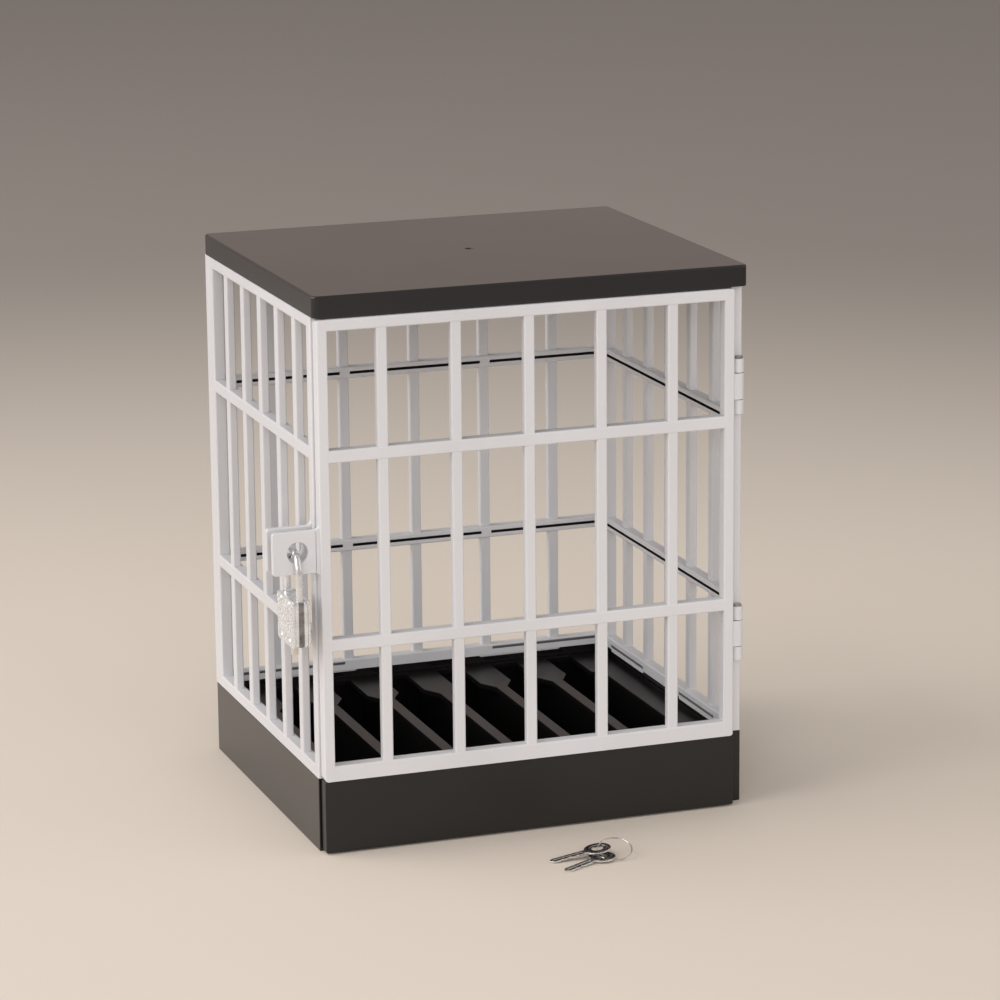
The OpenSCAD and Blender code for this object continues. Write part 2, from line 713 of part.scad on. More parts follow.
// Black kick plate under the door, a hollow moulding with ribs behind its skin
module door_kick_plate() {
    plate_h = base_h - kick_gap;
    pocket_w = door_w - 2 * kick_skin;
    color("#2b2829")
        difference() {
            translate([door_x0 + door_w / 2, door_y1, kick_gap + plate_h / 2])
                rotate([90, 0, 0])
                    linear_extrude(door_t)
                        round_rect(door_w, plate_h, kick_corner);
            for (i = [0 : kick_ribs])
                translate([door_x0 + kick_skin + i * (pocket_w + kick_skin) / (kick_ribs + 1),
                           door_y0 + kick_skin, kick_gap + kick_skin])
                    cube([(pocket_w + kick_skin) / (kick_ribs + 1) - kick_skin, door_t,
                          plate_h - kick_skin - door_tongue_h - kick_skin]);
            for (side = [-1, 1])
                translate([door_x0 + door_w / 2 + side * door_tongue_off, hinge_y,
                           panel_z0 - door_tongue_h - door_tongue_run])
                    linear_extrude(door_tongue_h + door_tongue_run + cut)
                        square([door_tongue_w + 2 * door_tongue_run, door_tongue_t + 2 * door_tongue_run],
                               center = true);
        }
}

// Steel hinge pin with a flat head, dropped in from above
module hinge_pin(z) {
    color("#b9bbbd")
        translate([hinge_x, hinge_y, z - hinge_h / 2]) {
            cylinder(h = hinge_h + pin_head_h / 2, r = pin_r);
            translate([0, 0, hinge_h])
                cylinder(h = pin_head_h, r = pin_head_r);
        }
}

// Rounded lock slab of thickness t in the Y-Z plane, centred on the case
module lock_slab(w, h, t) {
    translate([0, 0, (lock_z0 + lock_z1) / 2])
        rotate([90, 0, 90])
            linear_extrude(t, center = true)
                round_rect(w, h, lock_corner);
}

// The four rivet axes, along X
module at_rivets() {
    for (side = [-1, 1], z = [lock_z0 + rivet_in, lock_z1 - rivet_in])
        translate([0, side * rivet_off, z])
            rotate([0, 90, 0])
                children();
}

// Bent rod through both hasp holes: a half ring with a short leg in front and a long leg behind
module lock_shackle() {
    color("#c9cacc")
        translate([lock_x, lock_y, 0]) {
            translate([0, 0, arch_z])
                rotate([90, 0, 90])
                    rotate_extrude(angle = 180)
                        translate([arch_r, 0])
                            circle(rod_r - bend_thin);
            difference() {
                translate([0, short_leg_y, short_tip_z])
                    cylinder(h = arch_z - short_tip_z, r = rod_r);
                translate([-2 * rod_r, short_leg_y + rod_r - notch_deep, latch_channel_z0 - latch_gap])
                    cube([4 * rod_r, rod_r + cut, latch_h + 4 * latch_gap]);
            }
            translate([0, long_leg_y, long_tip_z])
                cylinder(h = arch_z - long_tip_z, r = rod_r);
        }
}

// Die-cast core of the padlock, bored for the legs, the plug, the latch and the springs
module lock_core() {
    core_w = lock_w - 2 * core_in;
    color("#b5b6b8")
        translate([lock_x, lock_y, 0])
            difference() {
                lock_slab(core_w, lock_h - 2 * core_in, core_t);
                translate([0, short_leg_y, short_tip_z - latch_gap])
                    cylinder(h = lock_h, r = bore_r);
                translate([0, long_leg_y, spring_floor_z])
                    cylinder(h = lock_h, r = bore_r);
                translate([-latch_w / 2 - latch_gap, short_leg_y, latch_channel_z0])
                    cube([latch_w + 2 * latch_gap, channel_end_y - short_leg_y,
                          latch_channel_z1 - latch_channel_z0]);
                translate([0, 0, lock_z0 - cut])
                    cylinder(h = latch_channel_z0 - lock_z0 + cut + latch_gap, r = plug_r + plug_run);
                for (side = [-1, 1])
                    translate([-side_groove_w / 2, side * core_w / 2 - side_groove_deep, lock_z0])
                        cube([side_groove_w, 2 * side_groove_deep, lock_h]);
                at_rivets()
                    cylinder(h = core_t + cut, r = rivet_r + rivet_gap, center = true);
            }
}

// Stamped face plate on one side of the core
module lock_plate(side) {
    color("#c9cacc")
        translate([lock_x, lock_y, 0])
            difference() {
                translate([side * (core_t + plate_t) / 2, 0, 0])
                    lock_slab(lock_w, lock_h, plate_t);
                at_rivets()
                    cylinder(h = core_t + 4 * plate_t, r = rivet_r + rivet_gap, center = true);
            }
}

// Domed head of a rivet, standing on its flat underside
module rivet_head() {
    dome_r = (rivet_head_r * rivet_head_r + rivet_head_h * rivet_head_h) / (2 * rivet_head_h);
    rotate_extrude()
        intersection() {
            translate([0, rivet_head_h - dome_r])
                circle(dome_r);
            square([2 * rivet_head_r, 2 * rivet_head_h]);
        }
}

// Rivets with a head on both faces, one group
module lock_rivets() {
    stack = core_t + 2 * plate_t;
    color("#d5d6d8")
        translate([lock_x, lock_y, 0])
            at_rivets() {
                cylinder(h = stack + rivet_head_h, r = rivet_r, center = true);
                for (flip = [0, 1])
                    mirror([0, 0, flip])
                        translate([0, 0, stack / 2])
                            rivet_head();
            }
}

// Key plug with its keyway below and the cam pin that works the latch on top
module lock_plug() {
    color("#c2a86a")
        translate([lock_x, lock_y, 0])
            difference() {
                union() {
                    translate([0, 0, lock_z0 - plug_out])
                        cylinder(h = plug_top_z - lock_z0 + plug_out, r = plug_r);
                    translate([-cam_off, 0, plug_top_z - cut])
                        cylinder(h = latch_z - plug_top_z + cut + latch_h / 4, r = cam_r);
                }
                translate([-keyway_w / 2, -keyway_l / 2, lock_z0 - plug_out - cut])
                    cube([keyway_w, keyway_l, plug_out + lock_h / 2]);
            }
}

// Sliding latch, shown drawn back, with a slot for the cam pin
module lock_latch() {
    color("#9a9c9f")
        translate([lock_x, lock_y, latch_z])
            difference() {
                translate([-latch_w / 2, latch_tip_y, -latch_h / 2])
                    cube([latch_w, latch_tail - latch_tip_y, latch_h]);
                translate([-latch_w / 2 - cut, -cam_r - cam_gap, -latch_h / 2 - cut])
                    cube([latch_w / 2 + cut + cam_r + cam_gap, 2 * (cam_r + cam_gap), latch_h + 2 * cut]);
            }
}

// Coil spring as a plain sleeve of its outer size
module spring_sleeve(r, l) {
    difference() {
        cylinder(h = l, r = r);
        translate([0, 0, -cut])
            cylinder(h = l + 2 * cut, r = r - spring_wire);
    }
}

// Spring that pushes the latch towards the short leg
module latch_spring() {
    color("#8d9093")
        translate([lock_x, lock_y + latch_tail + latch_gap, latch_z])
            rotate([-90, 0, 0])
                spring_sleeve(latch_spring_r, channel_end_y - latch_tail - 2 * latch_gap);
}

// Spring under the long leg that lifts the shackle when the latch lets go
module shackle_spring() {
    color("#8d9093")
        translate([lock_x, lock_y + long_leg_y, spring_floor_z + latch_gap])
            spring_sleeve(rod_r - latch_gap, shackle_spring_l);
}

// Thin wire ring that leans up on the bows of the keys
module key_ring() {
    color("#b9bbbd")
        translate([ring_x, ring_y, ring_z])
            rotate(-ring_turn)
                rotate([ring_tilt, 0, 0])
                    rotate_extrude()
                        translate([ring_r, 0])
                            circle(ring_wire_r);
}

// Corners of a notch in an edge of a blade, in the direction that the edge is walked
function notch(x, edge_y, deep, way) =
    let (inward = edge_y > 0 ? -deep : deep)
    [[x - way * deep, edge_y], [x, edge_y + inward], [x + way * deep, edge_y]];

// Outline of a blade: a pointed tip and two notched edges that run into the bow
module blade_outline() {
    edge = blade_w / 2;
    last = len(cut_shares) - 1;
    near_cuts = [
        for (i = [0 : last])
            each notch(first_cut_x + (i + 0.5) * cut_pitch, -edge, cut_shares[i] * cut_deep, 1)
    ];
    far_cuts = [
        for (i = [last : -1 : 0])
            each notch(first_cut_x + i * cut_pitch, edge, cut_shares[i] * far_cut_deep, -1)
    ];
    tip = [[-blade_l + edge, edge], [-blade_l, 0], [-blade_l + edge, -edge]];
    bow_end = [[0, -edge], [0, edge]];
    polygon(concat(tip, near_cuts, bow_end, far_cuts));
}

// Flat key with the ring's wire at the origin, in the hole of its bow, and its tip on the table towards -X
module flat_key(wire_z) {
    pitch = asin((wire_z - key_t / 2) / blade_l);
    color("#aeb0b3")
        rotate([0, -pitch, 0])
            translate([0, 0, -key_t / 2])
                linear_extrude(key_t)
                    difference() {
                        union() {
                            circle(bow_r);
                            blade_outline();
                        }
                        translate([bow_hole_off, 0])
                            circle(bow_hole_r);
                    }
}

// Point on the ring's wire at a given angle round it
function ring_point(a) =
    let (u = -ring_r * cos(a), v = ring_r * sin(a) * cos(ring_tilt))
    [ring_x + u * cos(ring_turn) + v * sin(ring_turn),
     ring_y - u * sin(ring_turn) + v * cos(ring_turn),
     ring_z + ring_r * sin(a) * sin(ring_tilt)];

// Key hung on the ring at a given angle round the wire and turned on the table
module hung_key(place, turn) {
    wire = ring_point(place);
    translate(wire)
        rotate(turn)
            flat_key(wire[2]);
}

base_tray();
phone_rack();
left_panel();
right_panel();
back_panel();
lid();
door_panel();
door_kick_plate();
hinge_pin(lower_hinge_z);  // hinge_pin_lower
hinge_pin(upper_hinge_z);  // hinge_pin_upper
lock_shackle();
lock_core();
lock_plate(-1);  // lock_outer_plate
lock_plate(1);  // lock_inner_plate
lock_rivets();
lock_plug();
lock_latch();
latch_spring();
shackle_spring();
key_ring();
hung_key(key_1_place, key_1_turn);  // key_1
hung_key(key_2_place, key_2_turn);  // key_2
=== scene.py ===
import json
import math

import bpy
from mathutils import Matrix, Vector


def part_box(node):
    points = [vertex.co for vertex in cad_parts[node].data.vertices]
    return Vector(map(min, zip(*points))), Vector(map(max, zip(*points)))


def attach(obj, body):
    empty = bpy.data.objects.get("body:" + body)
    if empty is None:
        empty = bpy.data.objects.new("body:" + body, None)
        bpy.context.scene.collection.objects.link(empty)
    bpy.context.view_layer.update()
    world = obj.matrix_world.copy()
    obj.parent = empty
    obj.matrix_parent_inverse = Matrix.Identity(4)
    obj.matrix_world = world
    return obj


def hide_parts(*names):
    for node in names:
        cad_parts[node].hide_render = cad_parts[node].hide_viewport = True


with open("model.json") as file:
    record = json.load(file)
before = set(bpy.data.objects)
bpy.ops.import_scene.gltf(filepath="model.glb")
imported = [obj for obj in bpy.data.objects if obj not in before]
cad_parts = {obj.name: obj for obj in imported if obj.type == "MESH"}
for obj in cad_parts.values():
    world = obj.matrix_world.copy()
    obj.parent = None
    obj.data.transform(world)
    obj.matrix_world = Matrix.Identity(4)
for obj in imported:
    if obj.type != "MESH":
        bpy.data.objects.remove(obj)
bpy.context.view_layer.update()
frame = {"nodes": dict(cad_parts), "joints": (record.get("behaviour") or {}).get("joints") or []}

# Base tray
# A shallow black tray, injection moulded in polystyrene with a satin gloss, open in front
# behind the kick plate. Everything else stands in it or is clipped to its rim.
MM = 0.001
MERGE = 0.002 * MM
FLAT_WITHIN = math.radians(0.5)
SHARP_OVER = math.radians(32.0)
SMOOTH_UNDER = math.radians(50.0)
EDGE_STEPS = 2
FLAT_WEIGHT = 100
BLACK = (0.0072, 0.0062, 0.0062)
BLACK_WORN = (0.0105, 0.0092, 0.0090)
FLOW_SCALE = 9.0
HAZE_SCALE = 24.0
HAZE_LESS, HAZE_MORE = 0.012, 0.022
SCRATCH_SCALE = 60.0
SCRATCH_DULL = 0.05
PEEL_SCALE, PEEL_DEEP = 420.0, 0.04 * MM
SINK_SCALE, SINK_DEEP = 16.0, 0.4 * MM
TRAY_DULL = 0.13
TRAY_SCRATCHES = (1.0, 1.0, 18.0)
MOULD_EDGE = 0.30 * MM
nodes = frame["nodes"]


def node_in(tree, kind, **values):
    """Adds a shader node and sets its plain settings."""
    made = tree.nodes.new(kind)
    for key, value in values.items():
        setattr(made, key, value)
    return made


def noise(tree, coords, scale, detail=3.0, rough=0.55, stretch=None):
    """Noise on the piece's own coordinates, stretched along an axis if asked."""
    texture = node_in(tree, "ShaderNodeTexNoise")
    texture.inputs["Scale"].default_value = scale
    texture.inputs["Detail"].default_value = detail
    texture.inputs["Roughness"].default_value = rough
    if stretch:
        mapping = node_in(tree, "ShaderNodeMapping")
        mapping.inputs["Scale"].default_value = stretch
        tree.links.new(coords, mapping.inputs["Vector"])
        coords = mapping.outputs["Vector"]
    tree.links.new(coords, texture.inputs["Vector"])
    return texture.outputs["Fac"]


def ramp(tree, factor, stops):
    """Colour ramp with the given (place, colour) stops."""
    made = node_in(tree, "ShaderNodeValToRGB")
    elements = made.color_ramp.elements
    while len(elements) < len(stops):
        elements.new(0.5)
    for element, (place, colour) in zip(elements, stops):
        element.position = place
        element.color = (*colour, 1.0)
    tree.links.new(factor, made.inputs["Fac"])
    return made.outputs["Color"]


def spread(tree, factor, low, high, start=0.3, end=0.7):
    """Maps a factor between two values."""
    made = node_in(tree, "ShaderNodeMapRange")
    made.inputs["From Min"].default_value = start
    made.inputs["From Max"].default_value = end
    made.inputs["To Min"].default_value = low
    made.inputs["To Max"].default_value = high
    tree.links.new(factor, made.inputs["Value"])
    return made.outputs["Result"]


def bumped(tree, height, strength, depth, below=None):
    """Bump of a given depth in metres, laid over another bump if given."""
    made = node_in(tree, "ShaderNodeBump")
    made.inputs["Strength"].default_value = strength
    made.inputs["Distance"].default_value = depth
    tree.links.new(height, made.inputs["Height"])
    if below is not None:
        tree.links.new(below, made.inputs["Normal"])
    return made.outputs["Normal"]


def new_material(name):
    """Empty node material with its shader and its object coordinates."""
    material = bpy.data.materials.new(name)
    material.use_nodes = True
    tree = material.node_tree
    shader = tree.nodes["Principled BSDF"]
    coords = node_in(tree, "ShaderNodeTexCoord").outputs["Object"]
    return material, tree, shader, coords


def smooth_moulding(name, colour, worn_or_shaded, dull, scratch_along, shine=0.5):
    """Smooth moulded plastic: faint flow shades, orange peel, handling haze and fine scratches."""
    material, tree, shader, coords = new_material(name)
    flow = noise(tree, coords, FLOW_SCALE, detail=2.0)
    shades = ramp(tree, flow, [(0.30, colour), (0.75, worn_or_shaded)])
    tree.links.new(shades, shader.inputs["Base Color"])
    haze = noise(tree, coords, HAZE_SCALE, rough=0.5)
    scratches = noise(tree, coords, SCRATCH_SCALE, detail=2.0, stretch=scratch_along)
    total = node_in(tree, "ShaderNodeMath", operation="ADD", use_clamp=True)
    tree.links.new(spread(tree, haze, dull - HAZE_LESS, dull + HAZE_MORE), total.inputs[0])
    tree.links.new(spread(tree, scratches, 0.0, SCRATCH_DULL, start=0.68, end=0.71), total.inputs[1])
    tree.links.new(total.outputs["Value"], shader.inputs["Roughness"])
    peel = noise(tree, coords, PEEL_SCALE, detail=2.0)
    sink = noise(tree, coords, SINK_SCALE, detail=1.0)
    skin = bumped(tree, sink, strength=0.25, depth=SINK_DEEP)
    skin = bumped(tree, peel, strength=0.10, depth=PEEL_DEEP, below=skin)
    tree.links.new(skin, shader.inputs["Normal"])
    shader.inputs["Specular IOR Level"].default_value = shine
    return material


def merged_copy(node, name, body, material):
    """Stands a merged copy of a CAD node in its place, as the selected object."""
    bpy.ops.object.select_all(action="DESELECT")
    piece = bpy.data.objects.new(name, nodes[node].data.copy())
    bpy.context.scene.collection.objects.link(piece)
    bpy.context.view_layer.objects.active = piece
    piece.select_set(True)
    bpy.ops.mesh.customdata_custom_splitnormals_clear()
    bpy.ops.object.mode_set(mode="EDIT")
    bpy.ops.mesh.select_all(action="SELECT")
    bpy.ops.mesh.remove_doubles(threshold=MERGE)
    bpy.ops.mesh.dissolve_limited(angle_limit=FLAT_WITHIN)
    bpy.ops.object.mode_set(mode="OBJECT")
    piece.data.materials.clear()
    piece.data.materials.append(material)
    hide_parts(node)
    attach(piece, body)
    return piece


def evened(piece):
    """Smooth shading that leaves the large flat faces flat."""
    bpy.ops.object.shade_smooth_by_angle(angle=SMOOTH_UNDER)
    even = piece.modifiers.new("even", "WEIGHTED_NORMAL")
    even.mode = "FACE_AREA"
    even.weight = FLAT_WEIGHT
    even.keep_sharp = True
    bpy.ops.object.modifier_apply(modifier="even")


def softened(node, name, body, material, width):
    """Merged copy of a CAD node with all its sharp edges broken."""
    piece = merged_copy(node, name, body, material)
    edge = piece.modifiers.new("edge", "BEVEL")
    edge.width = width
    edge.segments = EDGE_STEPS
    edge.limit_method = "ANGLE"
    edge.angle_limit = SHARP_OVER
    edge.use_clamp_overlap = False
    bpy.ops.object.modifier_apply(modifier="edge")
    evened(piece)
    return piece


tray_black = smooth_moulding("tray_black", BLACK, BLACK_WORN, TRAY_DULL, TRAY_SCRATCHES)
softened("base_tray", "tray_shell", "cage", tray_black, MOULD_EDGE)

# Slotted rack
# The deck with the upright slots, moulded in a deeper black than the tray, with its slots
# open to the front. It drops into the tray on webs.
RACK_BLACK = (0.0042, 0.0036, 0.0036)
RACK_WORN = (0.0066, 0.0058, 0.0056)
RACK_DULL = 0.30
RACK_SHINE = 0.34
RACK_SCRATCHES = (18.0, 1.0, 1.0)
RACK_EDGE = 0.22 * MM
rack_black = smooth_moulding("rack_black", RACK_BLACK, RACK_WORN, RACK_DULL, RACK_SCRATCHES, RACK_SHINE)
softened("phone_rack", "rack_deck", "cage", rack_black, RACK_EDGE)

# Barred panels
# Light gray bars and rails, moulded flat in one shot with cored slits inside the rails, and
# tongues that clip into the tray and the lid. The left one carries the hasp's fixed tab, and
# the door, which takes the fourth side, the other tab.
PANEL_GRAY = (0.642, 0.628, 0.640)
PANEL_SHADE = (0.588, 0.574, 0.585)
PANEL_FLOW_SCALE = 11.0
PANEL_FLOW_ALONG = (1.0, 1.0, 0.4)
PANEL_HAZE_SCALE = 60.0
PANEL_DULL_LOW, PANEL_DULL_HIGH = 0.36, 0.48
PANEL_GRAIN_SCALE, PANEL_GRAIN_DEEP = 1400.0, 0.05 * MM
PANEL_SINK_SCALE, PANEL_SINK_DEEP = 55.0, 0.3 * MM
GLOW_WEIGHT = 0.06
GLOW_REACH = (4.0 * MM, 3.0 * MM, 2.5 * MM)


def gray_moulding(name):
    """Satin gray plastic: faint flow shades, a fine spark-eroded grain and soft sink along the bars."""
    material, tree, shader, coords = new_material(name)
    flow = noise(tree, coords, PANEL_FLOW_SCALE, detail=4.0, stretch=PANEL_FLOW_ALONG)
    shades = ramp(tree, flow, [(0.28, PANEL_SHADE), (0.62, PANEL_GRAY)])
    tree.links.new(shades, shader.inputs["Base Color"])
    haze = noise(tree, coords, PANEL_HAZE_SCALE, detail=4.0, rough=0.6)
    tree.links.new(spread(tree, haze, PANEL_DULL_LOW, PANEL_DULL_HIGH), shader.inputs["Roughness"])
    grain = noise(tree, coords, PANEL_GRAIN_SCALE, detail=2.0)
    sink = noise(tree, coords, PANEL_SINK_SCALE, detail=1.0)
    skin = bumped(tree, sink, strength=0.3, depth=PANEL_SINK_DEEP)
    skin = bumped(tree, grain, strength=0.10, depth=PANEL_GRAIN_DEEP, below=skin)
    tree.links.new(skin, shader.inputs["Normal"])
    shader.inputs["Subsurface Weight"].default_value = GLOW_WEIGHT
    shader.inputs["Subsurface Radius"].default_value = GLOW_REACH
    return material


RAIL_SLITS = (83.9 * MM, 158.0 * MM)
FOOT_SLITS = (30.9 * MM, 32.6 * MM)
SLIT_HALF = 0.62 * MM
# Painted shade for the cored slits: near black in the rails and a darker gray at the foot, each with a
# random lighter tone.
SLIT_SHADE_DARK = (0.012, 0.0115, 0.011)
SLIT_SHADE_LIGHT = (0.022, 0.021, 0.020)
FOOT_SHADE = (0.26, 0.255, 0.252)
FOOT_SHADE_LIGHT = (0.33, 0.325, 0.320)
SLIT_DULL = 0.60
SLIT_SHINE = 0.2
EVEN = (1.0, 1.0, 1.0)
panel_gray = gray_moulding("panel_gray")
slit_painted_shade = smooth_moulding("slit_painted_shade", SLIT_SHADE_DARK, SLIT_SHADE_LIGHT, SLIT_DULL, EVEN, SLIT_SHINE)
foot_painted_shade = smooth_moulding("foot_painted_shade", FOOT_SHADE, FOOT_SHADE_LIGHT, SLIT_DULL, EVEN, SLIT_SHINE)


def shade_slits(panel):
    """Paints shade into the cored slits: near black in the rails, a lighter gray at the foot."""
    panel.data.materials.append(slit_painted_shade)
    panel.data.materials.append(foot_painted_shade)
    points = panel.data.vertices
    for face in panel.data.polygons:
        heights = [points[corner].co.z for corner in face.vertices]
        low, high = min(heights), max(heights)
        for index, levels in ((1, RAIL_SLITS), (2, FOOT_SLITS)):
            if any(level - SLIT_HALF < low and high < level + SLIT_HALF for level in levels):
                face.material_index = index


def joined(piece, operation, tool):
    """Joins a tool to a piece, or cuts the piece with it, and puts the tool away."""
    bpy.ops.object.select_all(action="DESELECT")
    bpy.context.view_layer.objects.active = piece
    piece.select_set(True)
    work = piece.modifiers.new("work", "BOOLEAN")
    work.operation = operation
    work.solver = "EXACT"
    work.object = tool
    bpy.ops.object.modifier_apply(modifier="work")
    bpy.data.objects.remove(tool)


def block(low, high):
    """Box between two corners, as the selected object, with its place in its mesh."""
    bpy.ops.object.select_all(action="DESELECT")
    middle = [(a + b) / 2 for a, b in zip(low, high)]
    size = [b - a for a, b in zip(low, high)]
    bpy.ops.mesh.primitive_cube_add(size=1.0, location=middle, scale=size)
    bpy.ops.object.transform_apply(location=True, rotation=True, scale=True)
    return bpy.context.object


def rod(radius, depth, middle, along):
    """Round tool along a direction, as the selected object."""
    bpy.ops.object.select_all(action="DESELECT")
    turned = along.to_track_quat("Z", "Y").to_euler()
    bpy.ops.mesh.primitive_cylinder_add(vertices=ROUND_SIDES, radius=radius, depth=depth,
                                        location=middle, rotation=turned)
    return bpy.context.object


def pick(piece, kind, wanted):
    """Selects the faces or edges of a piece that a test wants, and goes into edit mode."""
    bpy.ops.object.mode_set(mode="EDIT")
    bpy.ops.mesh.select_mode(type=kind)
    bpy.ops.mesh.select_all(action="DESELECT")
    bpy.ops.object.mode_set(mode="OBJECT")
    mesh = piece.data
    for part in mesh.polygons if kind == "FACE" else mesh.edges:
        part.select = wanted([mesh.vertices[corner].co for corner in part.vertices])
    bpy.ops.object.mode_set(mode="EDIT")


def joint_named(name):
    """The joint of that name, with its place and axis."""
    return next(joint for joint in frame["joints"] if joint["name"] == name)


ROUND_SIDES = 48
HASP_END = -106.5 * MM
HASP_HIGH = 17.0 * MM
HASP_HOLE_R = 4.2 * MM
HASP_CORNER, CORNER_STEPS = 1.2 * MM, 5
HASP_RIM, RIM_STEPS = 0.42 * MM, 3
HASP_FILLET, FILLET_STEPS = 2.0 * MM, 6
FILLET_TURN = math.radians(78.0)
HASP_ROOT = 1.6 * MM
LEFT_ROOT, LEFT_FRONT, LEFT_BACK = -88.5 * MM, -70.4 * MM, -67.8 * MM
DOOR_ROOT, DOOR_FRONT, DOOR_BACK = -87.7 * MM, -77.95 * MM, -75.75 * MM
DRILL_LONG = 20.0 * MM
CUT_ROOM = 5.0 * MM
CUT_SHY = 0.01 * MM
hasp_hole = Vector(joint_named("lock_swing")["pos_m"])


def hasp_tab(root, front, back):
    """Flat tab with a hole, rounded corners, fillets at its root and rounded rims."""
    start = root - HASP_FILLET
    half = HASP_HIGH / 2
    tab = block((HASP_END, front, hasp_hole.z - half), (start, back, hasp_hole.z + half))
    pick(tab, "EDGE", lambda ends: (all(p.x < HASP_END + MERGE for p in ends)
                                    and abs(ends[0].z - ends[1].z) < MERGE))
    bpy.ops.mesh.bevel(offset=HASP_CORNER, segments=CORNER_STEPS, affect="EDGES", clamp_overlap=False)
    bpy.ops.object.mode_set(mode="OBJECT")
    pick(tab, "FACE", lambda corners: all(p.x > start - MERGE for p in corners))
    reach, high = 0.0, half
    for step in range(1, FILLET_STEPS + 1):
        turn = FILLET_TURN * step / FILLET_STEPS
        onward = HASP_FILLET * math.sin(turn)
        taller = half + HASP_FILLET * (1.0 - math.cos(turn))
        bpy.ops.mesh.extrude_region_move(TRANSFORM_OT_translate={"value": (onward - reach, 0.0, 0.0)})
        bpy.ops.transform.resize(value=(1.0, 1.0, taller / high), center_override=(0.0, 0.0, hasp_hole.z))
        reach, high = onward, taller
    rest = HASP_FILLET - reach + HASP_ROOT
    bpy.ops.mesh.extrude_region_move(TRANSFORM_OT_translate={"value": (rest, 0.0, 0.0)})
    bpy.ops.object.mode_set(mode="OBJECT")
    hole = (hasp_hole.x, front, hasp_hole.z)
    joined(tab, "DIFFERENCE", rod(HASP_HOLE_R, DRILL_LONG, hole, Vector((0.0, 1.0, 0.0))))
    bpy.ops.object.mode_set(mode="EDIT")
    bpy.ops.mesh.select_mode(type="EDGE")
    bpy.ops.mesh.select_all(action="DESELECT")
    bpy.ops.mesh.edges_select_sharp(sharpness=SMOOTH_UNDER)
    bpy.ops.mesh.bevel(offset=HASP_RIM, segments=RIM_STEPS, affect="EDGES", clamp_overlap=False)
    bpy.ops.object.mode_set(mode="OBJECT")
    return tab


def hasped_panel(node, name, body, root, front, back):
    """Panel whose sharp hasp tab is cut off and made anew with round rims."""
    panel = merged_copy(node, name, body, panel_gray)
    off = block((HASP_END - CUT_ROOM, front - CUT_ROOM, hasp_hole.z - HASP_HIGH),
                (root - CUT_SHY, back + CUT_ROOM, hasp_hole.z + HASP_HIGH))
    joined(panel, "DIFFERENCE", off)
    joined(panel, "UNION", hasp_tab(root, front, back))
    evened(panel)
    shade_slits(panel)


def plain_panel(node, name):
    """Panel without a hasp."""
    panel = merged_copy(node, name, "cage", panel_gray)
    evened(panel)
    shade_slits(panel)


hasped_panel("left_panel", "left_grille", "cage", LEFT_ROOT, LEFT_FRONT, LEFT_BACK)
plain_panel("right_panel", "right_grille")
plain_panel("back_panel", "back_grille")
hasped_panel("door_panel", "door_grille", "door", DOOR_ROOT, DOOR_FRONT, DOOR_BACK)

# Lid
# A shallow black shell that closes the cage from above, with round corners and a small
# moulding gate in the middle of its top. It sits on the panels' tongues.
# The lid's black is lighter and a little bluer than the tray's: its own black with a painted sheen in it.
LID_BLACK = (0.0148, 0.0140, 0.0148)
LID_WORN = (0.0182, 0.0172, 0.0178)
LID_DULL = 0.14
LID_SCRATCHES = (1.0, 14.0, 1.0)
lid_black = smooth_moulding("lid_black", LID_BLACK, LID_WORN, LID_DULL, LID_SCRATCHES)
softened("lid", "lid_shell", "cage", lid_black, MOULD_EDGE)

# Kick plate
# The black front of the base, a hollow moulding plugged on to the door's tongues, so that
# it swings out with the door. Its skin is duller than the lid's.
KICK_DULL = 0.34
KICK_SCRATCHES = (1.0, 1.0, 16.0)
kick_black = smooth_moulding("kick_black", BLACK, BLACK_WORN, KICK_DULL, KICK_SCRATCHES)
softened("door_kick_plate", "kick_shell", "door", kick_black, MOULD_EDGE)

# Hinge pins
# Cut steel wire with a flat upset head, pushed down through the ears of the right panel and
# the knuckles of the door.
STEEL = (0.50, 0.50, 0.51)
STEEL_DARK = (0.33, 0.33, 0.34)
STEEL_DULL = 0.30
STEEL_DRAWN = (1.0, 1.0, 0.1)
TONE_SCALE = 260.0
METAL_HAZE_SCALE = 520.0
METAL_HAZE_LESS, METAL_HAZE_MORE = 0.06, 0.12
METAL_GRAIN_SCALE, METAL_GRAIN_DEEP = 900.0, 0.03 * MM


def worked_metal(name, bright, dark, dull, grain, relief=0.18, metal=1.0):
    """Worked metal: uneven brightness, haze and a fine drawn or stamped grain."""
    material, tree, shader, coords = new_material(name)
    tone = noise(tree, coords, TONE_SCALE, detail=4.0)
    tree.links.new(ramp(tree, tone, [(0.30, dark), (0.62, bright)]), shader.inputs["Base Color"])
    shader.inputs["Metallic"].default_value = metal
    haze = noise(tree, coords, METAL_HAZE_SCALE)
    uneven = spread(tree, haze, dull - METAL_HAZE_LESS, dull + METAL_HAZE_MORE)
    tree.links.new(uneven, shader.inputs["Roughness"])
    fine = noise(tree, coords, METAL_GRAIN_SCALE, detail=2.0, stretch=grain)
    tree.links.new(bumped(tree, fine, relief, METAL_GRAIN_DEEP), shader.inputs["Normal"])
    return material


def dress(node, material):
    """Gives a CAD node its finish."""
    slots = nodes[node].data.materials
    slots.clear()
    slots.append(material)


pin_steel = worked_metal("pin_steel", STEEL, STEEL_DARK, STEEL_DULL, STEEL_DRAWN)
for pin in ("hinge_pin_lower", "hinge_pin_upper"):
    dress(pin, pin_steel)

# Shackle of the padlock
# A bent steel rod, drawn smooth and nickel plated, through both tabs of the hasp. Its short
# leg has the notch for the latch, and its long leg stays in the core.
NICKEL = (0.90, 0.925, 0.95)
NICKEL_DARK = (0.73, 0.735, 0.74)
ROD_DULL, ROD_METAL = 0.18, 0.86
ROD_RELIEF = 0.05
ROD_DRAWN = (1.0, 1.0, 0.15)
nickel = worked_metal("nickel", NICKEL, NICKEL_DARK, ROD_DULL, ROD_DRAWN, ROD_RELIEF, ROD_METAL)
dress("lock_shackle", nickel)

